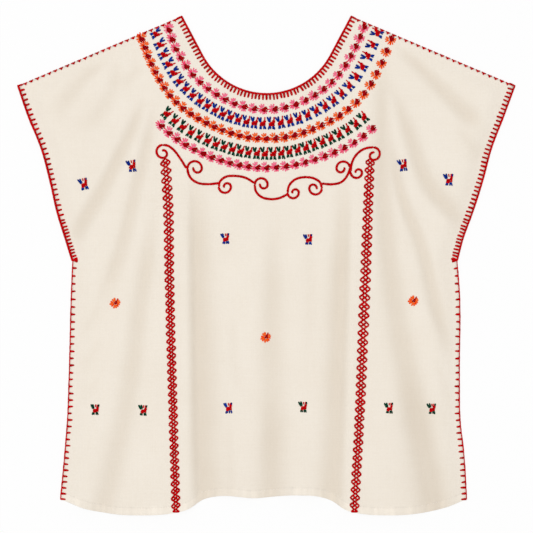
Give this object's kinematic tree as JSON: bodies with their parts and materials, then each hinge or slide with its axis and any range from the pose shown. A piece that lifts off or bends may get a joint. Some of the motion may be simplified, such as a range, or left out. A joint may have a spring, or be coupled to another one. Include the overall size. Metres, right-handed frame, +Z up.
{
  "type": "huipil blouse laid flat",
  "caption": "Boxy cotton blouse laid flat on its back, with a round neck, cap sleeves cut in one, an embroidered yoke and red blanket-stitched edges.",
  "frame": {"origin": "on the surface the blouse lies on, under the middle of its outline", "axes": "+Z up out of the surface and out of the blouse's front; +Y towards the neck; +X towards the sleeve on the right of the picture"},
  "size_m": [0.6864, 0.6869, 0.0158],
  "materials": {
    "cotton_cloth": "unbleached plain-weave cotton, matt, with slight slubs",
    "red_thread": "crimson mercerised cotton thread with a soft sheen",
    "dark_red_thread": "dark red mercerised cotton thread",
    "pink_thread": "bright pink mercerised cotton thread",
    "orange_thread": "orange mercerised cotton thread",
    "blue_thread": "royal blue mercerised cotton thread",
    "green_thread": "dark green mercerised cotton thread"
  },
  "bodies": {
    "root": {"front_panel": "cotton_cloth", "back_panel": "cotton_cloth", "neck_edging_front": "red_thread", "neck_edging_back": "red_thread", "left_sleeve_edging_front": "red_thread", "left_sleeve_edging_back": "red_thread", "right_sleeve_edging_front": "red_thread", "right_sleeve_edging_back": "red_thread", "left_side_edging": "red_thread", "right_side_edging": "red_thread"}
  },
  "joints": []
}
